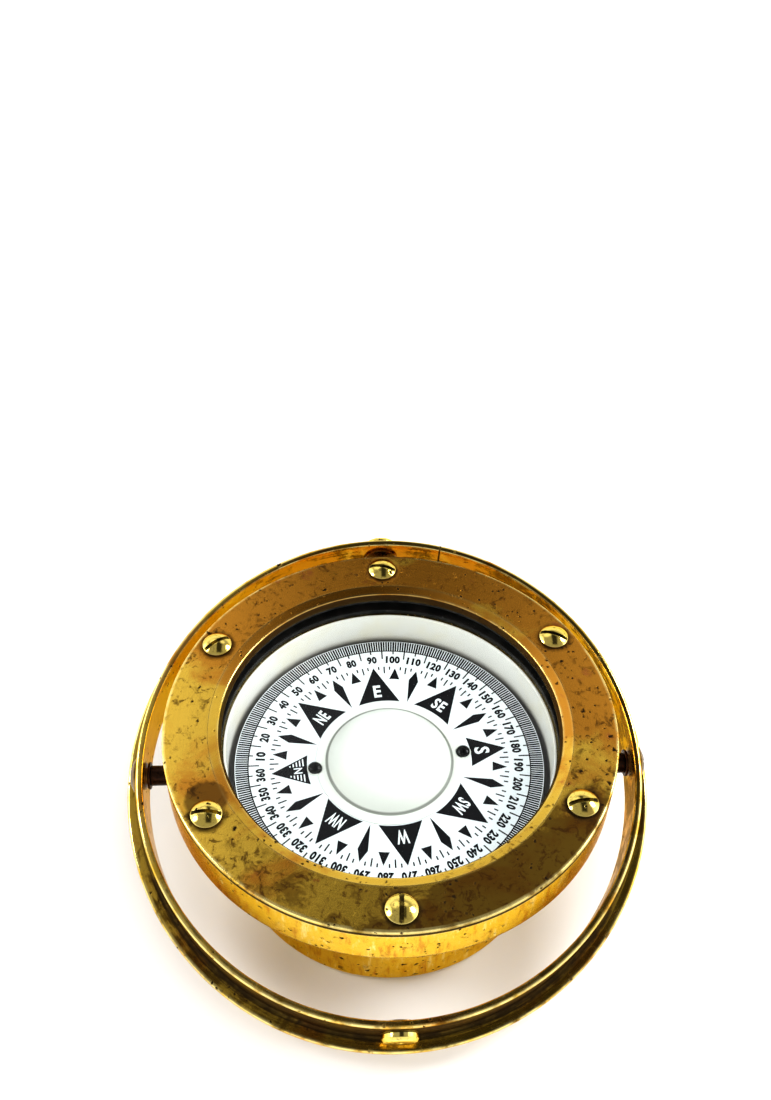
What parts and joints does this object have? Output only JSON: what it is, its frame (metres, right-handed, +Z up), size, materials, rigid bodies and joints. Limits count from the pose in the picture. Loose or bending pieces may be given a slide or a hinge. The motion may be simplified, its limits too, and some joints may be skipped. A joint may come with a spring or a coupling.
{
  "type": "gimballed boat compass",
  "caption": "Gimballed liquid boat compass: a brass bowl with a screwed bezel and a glass window holds a floating card on a pivot and hangs in a flanged brass gimbal ring.",
  "frame": {"origin": "middle of the bowl's flat underside, which it stands on", "axes": "+Z up out of the window; X along the bowl's pivot axis in the gimbal ring; -Y is the front, where the ring rests low"},
  "size_m": [0.1616, 0.1575, 0.0667],
  "materials": {
    "bowl_brass": "aged polished",
    "bezel_brass": "aged polished",
    "screw_brass": "polished",
    "plug_brass": "aged polished",
    "inner_brass": "satin",
    "cover_brass": "aged satin",
    "ring_brass": "aged polished",
    "stub_brass": "polished",
    "dark_bronze": "dark patina",
    "black_sleeve": "satin",
    "bush_bronze": "satin",
    "diaphragm_bronze": "bright",
    "window_glass": "clear",
    "black_rubber": "matt",
    "fibre_washer": "matt",
    "white_enamel": "satin enamel",
    "lubber_black": "matt",
    "card_white": "printed enamel",
    "float_white": "gloss enamel",
    "rivet_black": "gloss",
    "jewel": "polished",
    "hard_metal": "polished",
    "magnet_steel": "blued",
    "lead": "dull cast"
  },
  "bodies": {
    "bowl": {"bowl_shell": "bowl_brass", "bezel_ring": "bezel_brass", "bezel_screws": "screw_brass", "filler_plug": "plug_brass", "pivot_post": "inner_brass", "pivot_post_nut": "inner_brass", "diaphragm_clamp_ring": "inner_brass", "clamp_screws": "inner_brass", "cover_screws": "inner_brass", "floor_screws": "inner_brass", "bottom_cover": "cover_brass", "pivot_screw_right": "dark_bronze", "pivot_screw_left": "dark_bronze", "pivot_washer_right": "dark_bronze", "pivot_washer_left": "dark_bronze", "pivot_spacer_right": "black_sleeve", "pivot_spacer_left": "black_sleeve", "expansion_diaphragm": "diaphragm_bronze", "glass_cover": "window_glass", "upper_gasket": "black_rubber", "lower_gasket": "black_rubber", "filler_washer": "fibre_washer", "bowl_lining": "white_enamel", "chamber_floor": "white_enamel", "lubber_pin": "lubber_black", "pivot_tip": "hard_metal", "ballast_weight": "lead"},
    "gimbal": {"gimbal_ring": "ring_brass", "pivot_bush_right": "bush_bronze", "pivot_bush_left": "bush_bronze", "outer_pivot_front": "stub_brass", "outer_pivot_back": "stub_brass", "outer_pivot_screw_front": "dark_bronze", "outer_pivot_screw_back": "dark_bronze"},
    "card": {"compass_card": "card_white", "float_dome": "float_white", "float_base": "float_white", "card_rivets": "rivet_black", "jewel_cup": "inner_brass", "pivot_jewel": "jewel", "magnet_carrier": "inner_brass", "magnet_right": "magnet_steel", "magnet_left": "magnet_steel"}
  },
  "joints": [
    {"name": "bowl_pivot", "type": "hinge", "parent": "bowl", "child": "gimbal", "pos_m": [0, 0, 0.0389], "axis": [1, 0, 0], "continuous": true},
    {"name": "card_turn", "type": "hinge", "parent": "bowl", "child": "card", "pos_m": [0, 0, 0.0486], "axis": [0, 0, 1], "continuous": true}
  ]
}
